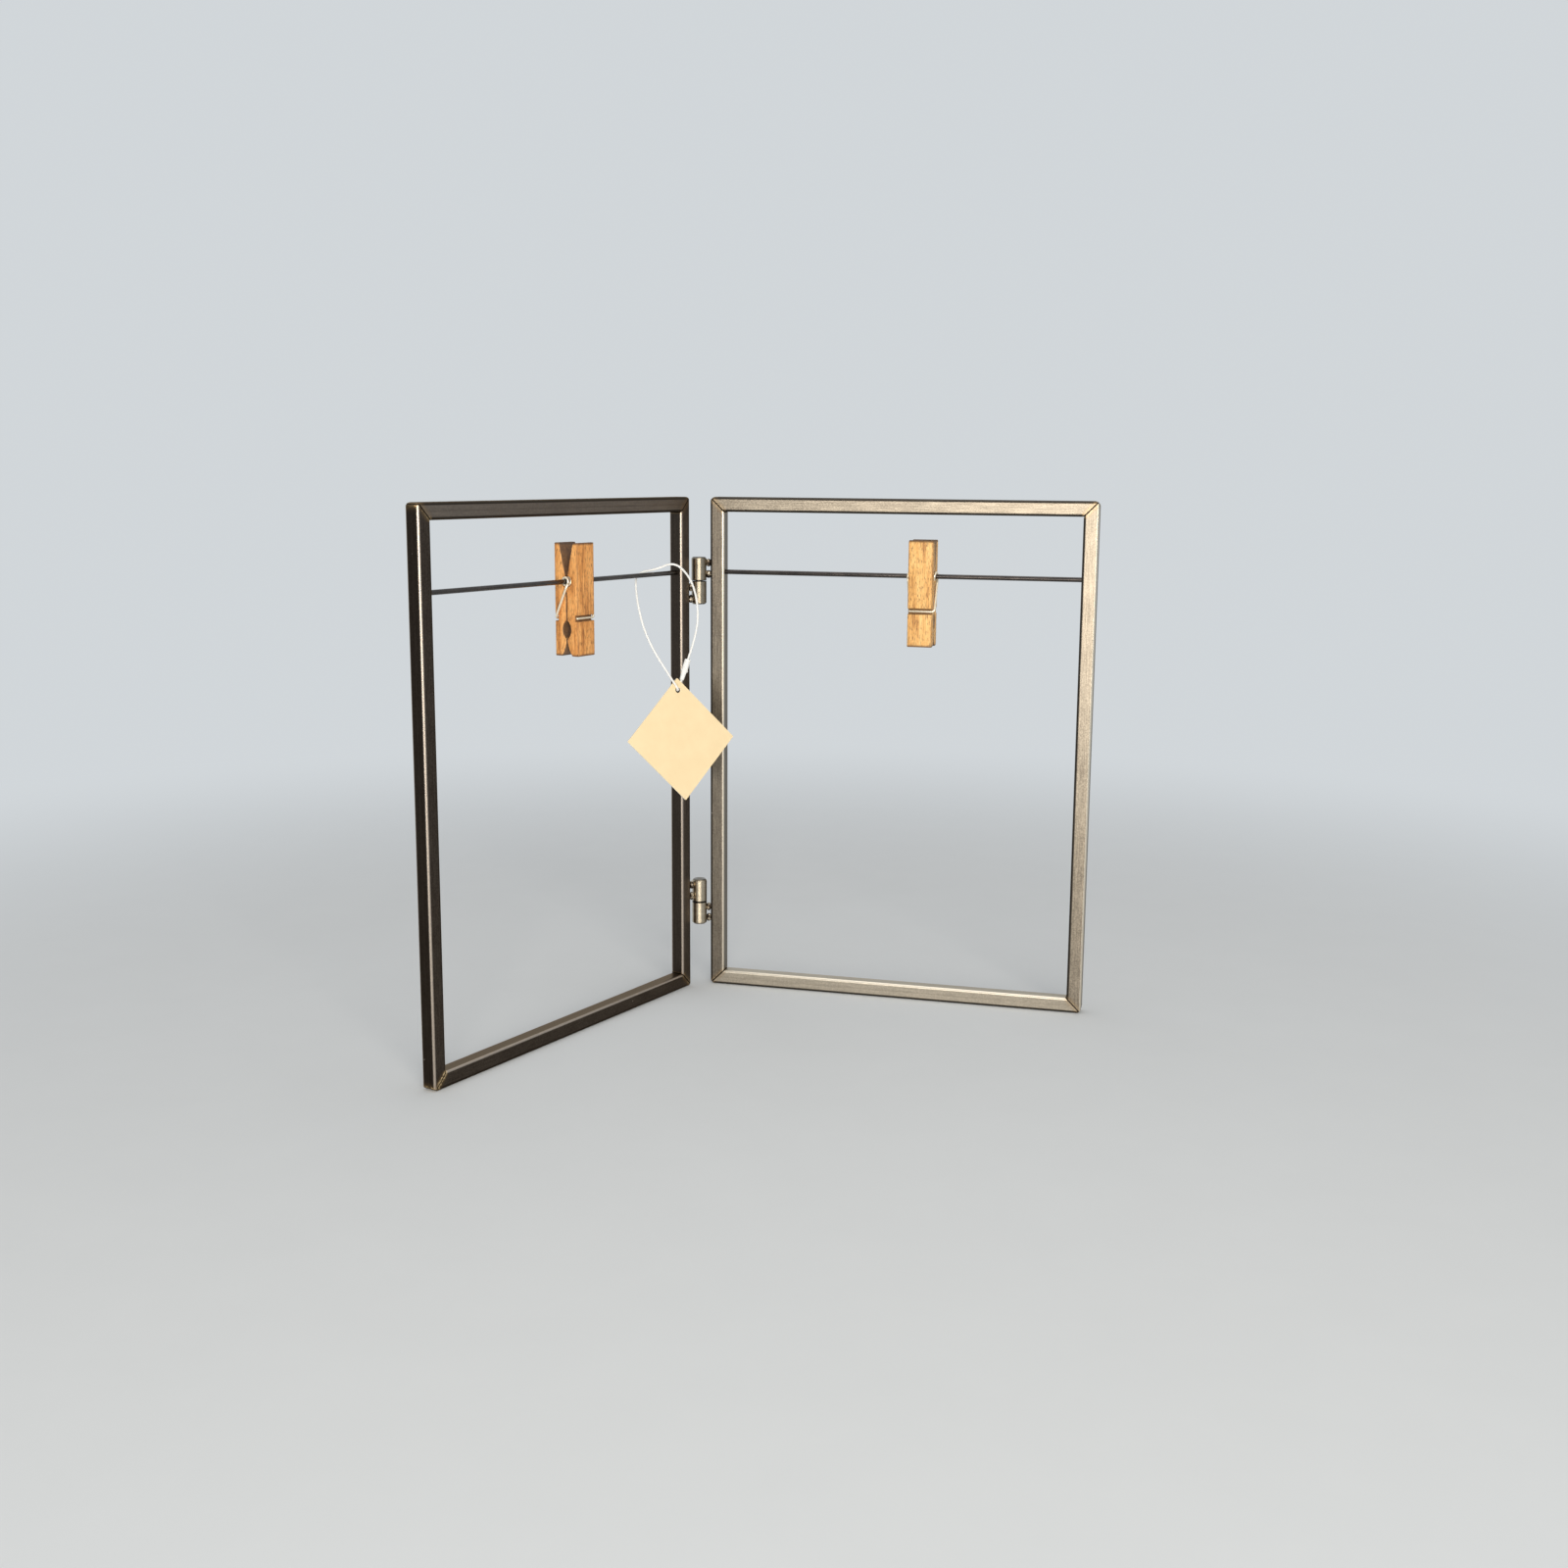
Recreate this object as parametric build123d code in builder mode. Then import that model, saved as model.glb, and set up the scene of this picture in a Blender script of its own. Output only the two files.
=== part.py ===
from build123d import *
import math
import os

# Hinged double photo frame: two open panels of mitred square steel tube that
# stand as a V on two barrel hinges. Each panel carries a thin rod with a small
# wooden clothespin on it, and a blank card tag hangs on a nylon loop from the
# left rod. Millimetres, Z up, panel feet on Z = 0, V open towards -Y.

# Panels
panel_width = 165.1
panel_height = 215.9
tube_size = 6.35
tube_wall = 1.0
tube_edge_round = 1.0
panel_corner_round = 2.5
fold_angle = 107.2
stile_to_axis = 4.5
face_behind_axis = 1.5

# Barrel hinges
knuckle_diameter = 6.5
knuckle_height = 9.9
knuckle_gap = 0.35
knuckle_chamfer = 0.6
upper_hinge_below_top = 35.7
lower_hinge_height = 38.1
pin_diameter = 3.0
pin_clearance = 0.05
pin_reach = 7.4
pin_end_chamfer = 0.3
pin_bottom_gap = 0.5

# Weld beads between the knuckles and the hinge stiles
bead_radius = 1.35
bead_spread = 1.0
bead_low = 2.55
bead_high = 7.5

# Rods
rod_diameter = 2.0
rod_below_top = 32.0
rod_clearance = 0.05
rod_end_reach = 3.85
rod_end_chamfer = 0.3

# Clothespins
clip_width = 10.4
clip_handle = 15.1
clip_jaw = 29.4
clip_half_depth = 5.7
clip_meeting_gap = 0.15
handle_tip_thickness = 2.3
spring_seat_radius = 2.35
grip_hole_depth = 19.0
grip_hole_half_height = 3.8
grip_hole_bulge = 1.9
mouth_start = 23.4
mouth_half_opening = 2.5
mouth_bow = 0.35
groove_depth_down = 14.4
groove_height = 2.2
groove_cut = 1.5
clip_corner_round = 0.4
jaw_tip_round = 1.2
left_clip_at = 79.5
right_clip_at = 97.0

# Clothespin springs
wire_diameter = 1.0
spring_bore_clearance = 0.1
spring_side_clearance = 0.35
spring_turns = 6
spring_ease = 90.0
hook_clearance = 0.06
hook_bend_radius = 1.2
hook_short_of_edge = 0.6

# Card tag on its loop. The closed lean and the turn set how it hangs.
tag_side = 36.4
tag_thickness = 0.45
tag_corner_round = 0.3
tag_hole_diameter = 2.4
tag_hole_from_corner = 5.1
tag_on_rod_at = 34.0
tag_across = -1.4
tag_down = 70.1
tag_roll = -11.5
tag_lean = 4.3
tag_turn_angle = 25.2
tag_turn_along_share = 0.344
tag_turn_front_share = 0.310
tag_turn_up_share = -0.886
string_diameter = 0.9

# The loop's route from the lock's top, over the left rod, down through the
# card's hole and back to the lock's nose: across to the hinge, up, forward
loop_route = [
    (11.35, -38.65, -0.3),
    (16.6, -31.2, 0.4),
    (20.6, -22.4, 1.2),
    (21.6, -12.8, 2.2),
    (19.7, -4.4, 3.3),
    (14.55, 2.53, 2.83),
    (8.44, 1.22, -3.24),
    (0.05, 1.75, -5.43),
    (-2.4, -4.5, -4.6),
    (-4.5, -14.0, -3.0),
    (-4.9, -24.0, -1.5),
    (-3.4, -32.6, -0.3),
    (-1.1, -39.9, 0.6),
    (0.9, -45.9, 1.1),
    (2.7, -49.9, 0.95),
    (2.7, -49.9, -0.95),
    (4.7, -48.1, -1.05),
    (6.3, -46.2, -0.9),
]
run_share = 0.45

# Lock of the loop, a small moulded barrel
lock_nose_diameter = 1.7
lock_nose_base_diameter = 2.2
lock_nose_length = 3.6
lock_collar_diameter = 3.0
lock_collar_length = 0.8
lock_body_diameter = 2.6
lock_edge_round = 0.25

# One overrun for all cuts
overrun = 1.0

os.makedirs("parts", exist_ok=True)

# Directions of the two panels
turn = math.radians(fold_angle)
up = Vector(0, 0, 1)
right_along = Vector(1, 0, 0)
right_front = Vector(0, -1, 0)
left_along = Vector(math.cos(turn), -math.sin(turn), 0)
left_front = Vector(math.sin(turn), math.cos(turn), 0)

upper_hinge_height = panel_height - upper_hinge_below_top
rod_height = panel_height - rod_below_top
rod_radius = rod_diameter / 2
tube_half = tube_size / 2
tube_middle = -face_behind_axis - tube_half
stile_inner = stile_to_axis + tube_size
far_edge = stile_to_axis + panel_width
far_inner = far_edge - tube_size
panel_middle = stile_to_axis + panel_width / 2
knuckle_radius = knuckle_diameter / 2

# Where the fold axis stands, so that the frame's box is centred on the origin
slant_reach = (tube_half - tube_edge_round) * (
    abs(math.cos(turn)) + abs(math.sin(turn))
) + tube_edge_round
outer_stile = left_along * (far_edge - tube_half) + left_front * tube_middle
axis_x = -(far_edge + outer_stile.X - slant_reach) / 2
axis_y = -(face_behind_axis + tube_size + outer_stile.Y - slant_reach) / 2
axis_point = Vector(axis_x, axis_y, 0)

# Drawing planes on each panel: local Y is up and local Z is the panel's front.
# Local X runs away from the hinge on the right panel, towards it on the left.
right_plane = Plane(origin=axis_point, x_dir=right_along, z_dir=right_front)
left_plane = Plane(origin=axis_point, x_dir=-left_along, z_dir=left_front)


def bar_shape(plane, side, corners, middle, length, upright, drilled_at=None):
    """A mitred length of square tube, cut from the panel's outline.

    A stile is drilled through one wall where a rod's end turns in it.
    """
    with BuildPart() as bar:
        run = Plane(
            origin=plane.from_local_coords(Vector(side * middle[0], middle[1], tube_middle)),
            x_dir=plane.z_dir,
            z_dir=plane.y_dir if upright else plane.x_dir,
        )
        with BuildSketch(run.offset(-length / 2)):
            RectangleRounded(tube_size, tube_size, tube_edge_round)
            Rectangle(tube_size - 2 * tube_wall, tube_size - 2 * tube_wall, mode=Mode.SUBTRACT)
        extrude(amount=length)
        with BuildSketch(plane.offset(-face_behind_axis + overrun)):
            with BuildLine():
                Polyline([(side * x, y) for x, y in corners], close=True)
            make_face()
            with Locations((side * panel_middle, panel_height / 2)):
                RectangleRounded(panel_width, panel_height, panel_corner_round, mode=Mode.INTERSECT)
        extrude(amount=-tube_size - 2 * overrun, mode=Mode.INTERSECT)
        if drilled_at is not None:
            hole = Vector(side * drilled_at, rod_height, tube_middle)
            with BuildSketch(Plane(origin=plane.from_local_coords(hole), z_dir=plane.x_dir)):
                Circle(rod_radius + rod_clearance)
            extrude(amount=tube_half / 2, both=True, mode=Mode.SUBTRACT)
    return bar.part


def panel_bars(plane, side):
    """The four bars of one panel, hinge stile and outer stile drilled."""
    near = stile_to_axis
    top_corners = [
        (near, panel_height),
        (far_edge, panel_height),
        (far_inner, panel_height - tube_size),
        (stile_inner, panel_height - tube_size),
    ]
    bottom_corners = [(near, 0), (far_edge, 0), (far_inner, tube_size), (stile_inner, tube_size)]
    hinge_corners = [
        (near, 0),
        (near, panel_height),
        (stile_inner, panel_height - tube_size),
        (stile_inner, tube_size),
    ]
    outer_corners = [
        (far_edge, 0),
        (far_edge, panel_height),
        (far_inner, panel_height - tube_size),
        (far_inner, tube_size),
    ]
    top = bar_shape(
        plane, side, top_corners, (panel_middle, panel_height - tube_half), panel_width, False
    )
    bottom = bar_shape(plane, side, bottom_corners, (panel_middle, tube_half), panel_width, False)
    hinge = bar_shape(
        plane,
        side,
        hinge_corners,
        (near + tube_half, panel_height / 2),
        panel_height,
        True,
        drilled_at=stile_inner,
    )
    outer = bar_shape(
        plane,
        side,
        outer_corners,
        (far_edge - tube_half, panel_height / 2),
        panel_height,
        True,
        drilled_at=far_inner,
    )
    return top, bottom, hinge, outer


def rod_shape(plane, side):
    """A straight round rod whose ends are captive in the two stiles."""
    length = far_inner - stile_inner + 2 * rod_end_reach
    start = side * (stile_inner - rod_end_reach)
    with BuildPart() as rod:
        with BuildSketch(
            Plane(
                origin=plane.from_local_coords(Vector(start, rod_height, tube_middle)),
                z_dir=plane.x_dir * side,
            )
        ):
            Circle(rod_radius)
        extrude(amount=length)
        chamfer(rod.edges().filter_by(GeomType.CIRCLE), rod_end_chamfer)
    return rod.part


# Hinge knuckles. An upper knuckle is closed on top, a lower one underneath.
def knuckle_shape(joint_height, is_upper, bore_radius):
    """One blind-bored knuckle standing on or hanging from the joint line."""
    heading = 1 if is_upper else -1
    start = joint_height + heading * knuckle_gap / 2
    with BuildPart() as knuckle:
        with BuildSketch(Plane(origin=axis_point + up * start, z_dir=up * heading)):
            Circle(knuckle_radius)
        extrude(amount=knuckle_height)
        ends = knuckle.edges().filter_by(GeomType.CIRCLE).sort_by(Axis.Z)
        chamfer(ends[-1] if is_upper else ends[0], knuckle_chamfer)
        with BuildSketch(Plane(origin=axis_point + up * start, z_dir=up * heading)):
            Circle(bore_radius)
        extrude(amount=pin_reach + pin_bottom_gap, mode=Mode.SUBTRACT)
    return knuckle.part


def pin_shape(joint_height):
    """A hinge pin centred on the joint line of one hinge."""
    half = pin_reach + knuckle_gap / 2
    with BuildPart() as pin:
        with BuildSketch(Plane(origin=axis_point + up * (joint_height - half))):
            Circle(pin_diameter / 2)
        extrude(amount=2 * half)
        chamfer(pin.edges().filter_by(GeomType.CIRCLE), pin_end_chamfer)
    return pin.part


def weld_shape(plane, side, joint_height, is_upper):
    """Two short round-topped welds between a knuckle and its stile's edge."""
    heading = 1 if is_upper else -1
    edge = Vector(stile_to_axis + tube_edge_round, -face_behind_axis - tube_edge_round, 0)
    middle = (edge.length - tube_edge_round + knuckle_radius) / 2
    place = edge.normalized() * middle
    stile = solid_stile(plane, side)
    knuckle = solid_knuckle(joint_height, is_upper)
    with BuildPart() as weld:
        for height in (bead_low, bead_high):
            for step in (-1, 1):
                rise = joint_height + heading * (knuckle_gap / 2 + height) + step * bead_spread / 2
                with Locations(plane.from_local_coords(Vector(side * place.X, rise, place.Y))):
                    Sphere(bead_radius)
        add(stile, mode=Mode.SUBTRACT)
        add(knuckle, mode=Mode.SUBTRACT)
    return weld.part


def solid_stile(plane, side):
    """The hinge stile's outside, for trimming the beads against it."""
    with BuildPart() as block:
        foot = Vector(side * (stile_to_axis + tube_half), 0, tube_middle)
        with BuildSketch(
            Plane(origin=plane.from_local_coords(foot), x_dir=plane.z_dir, z_dir=plane.y_dir)
        ):
            RectangleRounded(tube_size, tube_size, tube_edge_round)
        extrude(amount=panel_height)
    return block.part


def solid_knuckle(joint_height, is_upper):
    """A knuckle's outside, for trimming the beads against it."""
    heading = 1 if is_upper else -1
    start = joint_height + heading * knuckle_gap / 2
    with BuildPart() as block:
        with BuildSketch(Plane(origin=axis_point + up * start, z_dir=up * heading)):
            Circle(knuckle_radius)
        extrude(amount=knuckle_height)
    return block.part


# Clothespins. The profile plane's X is the panel's front and its Y is up.
def clip_plane(plane, side, at):
    """The middle plane of a clothespin that hangs at this place on the rod."""
    return Plane(
        origin=plane.from_local_coords(Vector(side * at, rod_height, tube_middle)),
        x_dir=plane.z_dir,
        z_dir=-plane.x_dir,
    )


handle_lean = math.atan2(clip_half_depth - handle_tip_thickness, clip_handle)
seat_top = (
    spring_seat_radius * math.sin(handle_lean),
    spring_seat_radius * math.cos(handle_lean),
)
seat_bottom = -math.sqrt(spring_seat_radius**2 - clip_meeting_gap**2)


def clip_half(plane, facing):
    """One wooden half, facing +1 for the front half and -1 for the rear half."""
    gap = clip_meeting_gap
    tip = clip_half_depth - handle_tip_thickness
    with BuildPart() as half:
        with BuildSketch(plane) as profile:
            with BuildLine():
                Line((facing * seat_top[0], seat_top[1]), (facing * tip, clip_handle))
                Line((facing * tip, clip_handle), (facing * clip_half_depth, clip_handle))
                Line(
                    (facing * clip_half_depth, clip_handle), (facing * clip_half_depth, -clip_jaw)
                )
                Line(
                    (facing * clip_half_depth, -clip_jaw), (facing * mouth_half_opening, -clip_jaw)
                )
                middle_x = (mouth_half_opening + gap) / 2 - mouth_bow
                middle_y = -(clip_jaw + mouth_start) / 2
                ThreePointArc(
                    (facing * mouth_half_opening, -clip_jaw),
                    (facing * middle_x, middle_y),
                    (facing * gap, -mouth_start),
                )
                hole_low = -grip_hole_depth - grip_hole_half_height
                hole_high = -grip_hole_depth + grip_hole_half_height
                Line((facing * gap, -mouth_start), (facing * gap, hole_low))
                ThreePointArc(
                    (facing * gap, hole_low),
                    (facing * (gap + grip_hole_bulge), -grip_hole_depth),
                    (facing * gap, hole_high),
                )
                Line((facing * gap, hole_high), (facing * gap, seat_bottom))
                ThreePointArc(
                    (facing * gap, seat_bottom),
                    (facing * spring_seat_radius, 0),
                    (facing * seat_top[0], seat_top[1]),
                )
            make_face()
            with Locations((facing * clip_half_depth, -groove_depth_down)):
                Rectangle(2 * groove_cut, groove_height, mode=Mode.SUBTRACT)
            outer = profile.vertices().group_by(Axis((0, 0, 0), plane.x_dir * facing))[-1]
            fillet(outer, clip_corner_round)
            lowest = profile.vertices().group_by(Axis.Z)[0]
            inner_tip = lowest.sort_by(Axis((0, 0, 0), plane.x_dir * facing))[0]
            fillet(inner_tip, jaw_tip_round)
        extrude(amount=clip_width / 2, both=True)
    return half.part


# Springs: one unbroken wire, hook to hook, round the rod
wire_radius = wire_diameter / 2
coil_radius = rod_radius + spring_bore_clearance + wire_radius
arm_plane = clip_width / 2 + spring_side_clearance + wire_radius
hook_front = clip_half_depth - groove_cut + hook_clearance + wire_radius
hook_reach = math.hypot(hook_front, groove_depth_down)
hook_bearing = math.atan2(groove_depth_down, hook_front)
leave_angle = hook_bearing - math.acos(-coil_radius / hook_reach)
coil_sweep = math.pi - 2 * leave_angle + 2 * math.pi * spring_turns
ease_angle = math.radians(spring_ease)
side_rate = 2 * arm_plane / (coil_sweep - ease_angle)


def coil_side(angle):
    """How far along the rod the wire has come after this much winding."""
    if angle < ease_angle:
        gone = side_rate * angle**2 / (2 * ease_angle)
    elif angle > coil_sweep - ease_angle:
        left = coil_sweep - angle
        gone = 2 * arm_plane - side_rate * left**2 / (2 * ease_angle)
    else:
        gone = side_rate * (angle - ease_angle / 2)
    return arm_plane - gone


def coil_side_rate(angle):
    """Rate of coil_side against the winding angle."""
    near = min(angle, coil_sweep - angle)
    return -side_rate * min(1, near / ease_angle)


def coil_point(angle):
    """The wire's centre after this much winding, in the clothespin's plane."""
    bearing = leave_angle + angle
    return Vector(
        coil_radius * math.cos(bearing), coil_radius * math.sin(bearing), coil_side(angle)
    )


def coil_heading(angle):
    """The wire's direction after this much winding."""
    bearing = leave_angle + angle
    return Vector(
        -coil_radius * math.sin(bearing),
        coil_radius * math.cos(bearing),
        coil_side_rate(angle),
    ).normalized()


def biarc_joint(start, start_heading, end, end_heading):
    """Where the two arcs of a biarc with equal tangents meet."""
    chord = end - start
    both = start_heading + end_heading
    spread = 2 * (1 - start_heading.dot(end_heading))
    along = chord.dot(both)
    reach = (-along + math.sqrt(along**2 + spread * chord.dot(chord))) / spread
    return (start + end) * 0.5 + (start_heading - end_heading) * (reach / 2)


def spring_route():
    """The wire's centre line in the clothespin's own coordinates."""
    steps = math.ceil(coil_sweep / (math.pi / 2))
    side_end = clip_width / 2 - hook_short_of_edge
    rear_corner = Vector(-hook_front, -groove_depth_down, arm_plane)
    front_corner = Vector(hook_front, -groove_depth_down, -arm_plane)
    rear_tip = Vector(-hook_front, -groove_depth_down, -side_end)
    front_tip = Vector(hook_front, -groove_depth_down, side_end)
    across = Vector(0, 0, 1)
    rising = coil_heading(0)
    falling = coil_heading(coil_sweep)
    with BuildLine() as route:
        Line(rear_tip, rear_corner - across * hook_bend_radius)
        TangentArc(
            rear_corner - across * hook_bend_radius,
            rear_corner + rising * hook_bend_radius,
            tangent=across,
        )
        Line(rear_corner + rising * hook_bend_radius, coil_point(0))
        for step in range(steps):
            start = coil_sweep * step / steps
            end = coil_sweep * (step + 1) / steps
            joint = biarc_joint(
                coil_point(start), coil_heading(start), coil_point(end), coil_heading(end)
            )
            first = TangentArc(coil_point(start), joint, tangent=coil_heading(start))
            TangentArc(joint, coil_point(end), tangent=first % 1)
        Line(coil_point(coil_sweep), front_corner - falling * hook_bend_radius)
        TangentArc(
            front_corner - falling * hook_bend_radius,
            front_corner + across * hook_bend_radius,
            tangent=falling,
        )
        Line(front_corner + across * hook_bend_radius, front_tip)
    return route.wire()


def spring_shape(plane):
    """The spring's wire, swept once and set on its clothespin."""
    route = spring_route()
    with BuildPart() as wire:
        with BuildSketch(Plane(origin=route @ 0, z_dir=route % 0)):
            Circle(wire_radius)
        sweep(path=route)
    return wire.part.moved(plane.location)


def least_gap(points, diameter, skip):
    """Least free gap between stretches of a wire further apart than skip."""
    least = math.inf
    for first, (x, y, z) in enumerate(points):
        for x_other, y_other, z_other in points[first + skip :]:
            least = min(least, math.dist((x, y, z), (x_other, y_other, z_other)))
    return least - diameter


# Tag. Its plane's origin is where the loop crosses the rod; local X runs to
# the hinge, local Y up the card and local Z out of the card's front.
tag_axis = (
    left_along * tag_turn_along_share
    + left_front * tag_turn_front_share
    + up * tag_turn_up_share
).normalized()
tag_pivot = left_plane.from_local_coords(Vector(-tag_on_rod_at, rod_height, tube_middle))
rest_turn = Axis((0, 0, 0), tag_axis)
closed_front = left_front.rotate(Axis((0, 0, 0), left_along), tag_lean)
tag_plane = Plane(
    origin=tag_pivot,
    x_dir=(-left_along).rotate(rest_turn, tag_turn_angle),
    z_dir=closed_front.rotate(rest_turn, tag_turn_angle),
)


def card_shape():
    """A square card hung by one corner, with a punched hole."""
    to_hole = tag_side / math.sqrt(2) - tag_hole_from_corner
    with BuildPart() as card:
        with BuildSketch(tag_plane):
            with Locations(Location((tag_across, -tag_down, 0), (0, 0, tag_roll))):
                RectangleRounded(tag_side, tag_side, tag_corner_round, rotation=45)
                with Locations((0, to_hole)):
                    Circle(tag_hole_diameter / 2, mode=Mode.SUBTRACT)
        extrude(amount=tag_thickness / 2, both=True)
    return card.part


def route_radii(points):
    """Arc radii of a cord route: a share of the shorter run at every corner."""
    radii = []
    for before, here, after in zip(points, points[1:], points[2:]):
        arriving = Vector(*here) - Vector(*before)
        leaving = Vector(*after) - Vector(*here)
        half_turn = math.radians(arriving.get_angle(leaving) / 2)
        radii.append(run_share * min(arriving.length, leaving.length) / math.tan(half_turn))
    return radii


def loop_shape():
    """The nylon loop, one tube from the lock's top round to its nose."""
    with BuildLine() as route:
        FilletPolyline(loop_route, radius=route_radii(loop_route))
    string = route.wire()
    with BuildPart() as loop:
        with BuildSketch(Plane(origin=string @ 0, z_dir=string % 0)):
            Circle(string_diameter / 2)
        sweep(path=string)
    area = math.pi * string_diameter**2 / 4
    print("loop length", round(string.length, 2))
    print("loop radii", [round(radius, 2) for radius in route_radii(loop_route)])
    print("loop volume over section times length", loop.part.volume / (area * string.length))
    return loop.part.moved(tag_plane.location)


def lock_shape():
    """The loop's lock: a tapered nose, a collar and a round body."""
    nose = Vector(*loop_route[-1])
    top = Vector(*loop_route[0])
    length = (top - nose).length
    base = lock_nose_length
    with BuildPart() as lock:
        with BuildSketch(Plane.XZ):
            with BuildLine():
                Polyline(
                    (0, 0),
                    (lock_nose_diameter / 2, 0),
                    (lock_nose_base_diameter / 2, base),
                    (lock_collar_diameter / 2, base),
                    (lock_collar_diameter / 2, base + lock_collar_length),
                    (lock_body_diameter / 2, base + lock_collar_length),
                    (lock_body_diameter / 2, length),
                    (0, length),
                    close=True,
                )
            make_face()
        revolve(axis=Axis.Z)
        fillet(lock.edges().filter_by(GeomType.CIRCLE).group_by(Axis.Z)[-1], lock_edge_round)
    stand = Plane(origin=nose, z_dir=top - nose)
    return lock.part.moved(stand.location).moved(tag_plane.location)


# Every piece under its own name
pieces = {}
for name, plane, side in (("right", right_plane, 1), ("left", left_plane, -1)):
    top, bottom, hinge, outer = panel_bars(plane, side)
    pieces[name + "_top_rail"] = top
    pieces[name + "_bottom_rail"] = bottom
    pieces[name + "_hinge_stile"] = hinge
    pieces[name + "_outer_stile"] = outer
    pieces[name + "_rod"] = rod_shape(plane, side)

# The upper hinge carries its right knuckle on top, the lower hinge its left one
pin_radius = pin_diameter / 2
for name, height, right_is_upper in (
    ("upper", upper_hinge_height, True),
    ("lower", lower_hinge_height, False),
):
    pieces[name + "_hinge_right_knuckle"] = knuckle_shape(height, right_is_upper, pin_radius)
    pieces[name + "_hinge_left_knuckle"] = knuckle_shape(
        height, not right_is_upper, pin_radius + pin_clearance
    )
    pieces[name + "_hinge_pin"] = pin_shape(height)
    pieces[name + "_hinge_right_weld"] = weld_shape(right_plane, 1, height, right_is_upper)
    pieces[name + "_hinge_left_weld"] = weld_shape(left_plane, -1, height, not right_is_upper)

for name, plane, side, at in (
    ("right", right_plane, 1, right_clip_at),
    ("left", left_plane, -1, left_clip_at),
):
    place = clip_plane(plane, side, at)
    pieces[name + "_clip_front_half"] = clip_half(place, 1)
    pieces[name + "_clip_rear_half"] = clip_half(place, -1)
    pieces[name + "_clip_spring"] = spring_shape(place)

pieces["tag_card"] = card_shape()
pieces["tag_loop"] = loop_shape()
pieces["tag_lock"] = lock_shape()

for name, piece in pieces.items():
    piece.label = name
    export_step(piece, "parts/" + name + ".step")

# Least gap of the spring's wire to itself, measured on points of its route
wire_route = spring_route()
wire_points = [(p.X, p.Y, p.Z) for p in (wire_route @ (n / 2400) for n in range(2401))]
reach_points = math.ceil(3 * wire_diameter / (wire_route.length / 2400))
print("spring wire length", round(wire_route.length, 2))
print("spring least gap", round(least_gap(wire_points, wire_diameter, reach_points), 3))
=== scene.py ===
import math

import bmesh
import bpy
from mathutils import Matrix, Vector, noise


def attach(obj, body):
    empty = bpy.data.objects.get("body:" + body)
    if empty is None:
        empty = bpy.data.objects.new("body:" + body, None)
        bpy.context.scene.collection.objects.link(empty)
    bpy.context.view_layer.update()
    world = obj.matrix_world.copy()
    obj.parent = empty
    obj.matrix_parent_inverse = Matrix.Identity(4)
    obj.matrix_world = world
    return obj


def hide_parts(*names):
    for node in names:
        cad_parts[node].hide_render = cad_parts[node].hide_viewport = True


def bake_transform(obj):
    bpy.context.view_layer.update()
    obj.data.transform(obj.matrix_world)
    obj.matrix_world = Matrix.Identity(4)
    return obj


# The look of a hinged double photo frame: satin steel tube, polished hinge
# barrels, stained wooden clothespins on thin rods, and a card tag on a nylon
# loop. Sizes are in millimetres until mm() turns them into metres.

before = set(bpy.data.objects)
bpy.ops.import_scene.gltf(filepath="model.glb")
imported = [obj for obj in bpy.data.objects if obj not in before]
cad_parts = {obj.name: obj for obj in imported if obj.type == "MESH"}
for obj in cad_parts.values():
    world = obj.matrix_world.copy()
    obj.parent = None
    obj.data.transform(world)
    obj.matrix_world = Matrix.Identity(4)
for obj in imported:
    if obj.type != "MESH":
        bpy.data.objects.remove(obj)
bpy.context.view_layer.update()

MILLIMETRE = 0.001
merge_distance = 0.000002

# Sizes of the panels, repeated from the CAD part
panel_width = 165.1
panel_height = 215.9
tube_size = 6.35
fold_angle = math.radians(107.2)
stile_to_axis = 4.5
face_behind_axis = 1.5
fold_axis = Vector((-56.1, 76.735, 0))
far_edge = stile_to_axis + panel_width
tube_middle = -face_behind_axis - tube_size / 2

# Sizes of the hinges, rods, clothespins and springs
knuckle_diameter = 6.5
knuckle_gap = 0.35
upper_hinge_height = 180.2
lower_hinge_height = 38.1
knuckle_height = 9.9
bead_low = 2.55
bead_high = 7.5
tube_edge_round = 1.0
rod_height = 183.9
rod_diameter = 2.0
clip_width = 10.4
clip_handle = 15.1
clip_jaw = 29.4
clip_half_depth = 5.7
groove_depth_down = 14.4
groove_height = 2.2
groove_cut = 1.5
left_clip_at = 79.5
right_clip_at = 97.0
wire_diameter = 1.0
spring_bore_clearance = 0.1
spring_side_clearance = 0.35
spring_turns = 6
spring_ease = math.radians(90)
hook_clearance = 0.06
hook_bend_radius = 1.2
hook_short_of_edge = 0.6

# Directions of the two panels: along runs away from the hinge, front is the
# side that shows inside the V
up = Vector((0, 0, 1))
along = {
    "right": Vector((1, 0, 0)),
    "left": Vector((math.cos(fold_angle), -math.sin(fold_angle), 0)),
}
front = {
    "right": Vector((0, -1, 0)),
    "left": Vector((math.sin(fold_angle), math.cos(fold_angle), 0)),
}


def mm(point):
    """A point in millimetres as one in metres."""
    return Vector(point) * MILLIMETRE


def on_panel(side, away, rise, out):
    """A panel's own point, away from the hinge, up and to the front, in mm."""
    return fold_axis + along[side] * away + up * rise + front[side] * out


# Node helpers
def put(tree, socket, value):
    """Links a socket, or sets a number or colour."""
    if isinstance(value, bpy.types.NodeSocket):
        tree.links.new(value, socket)
    else:
        socket.default_value = value


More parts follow.
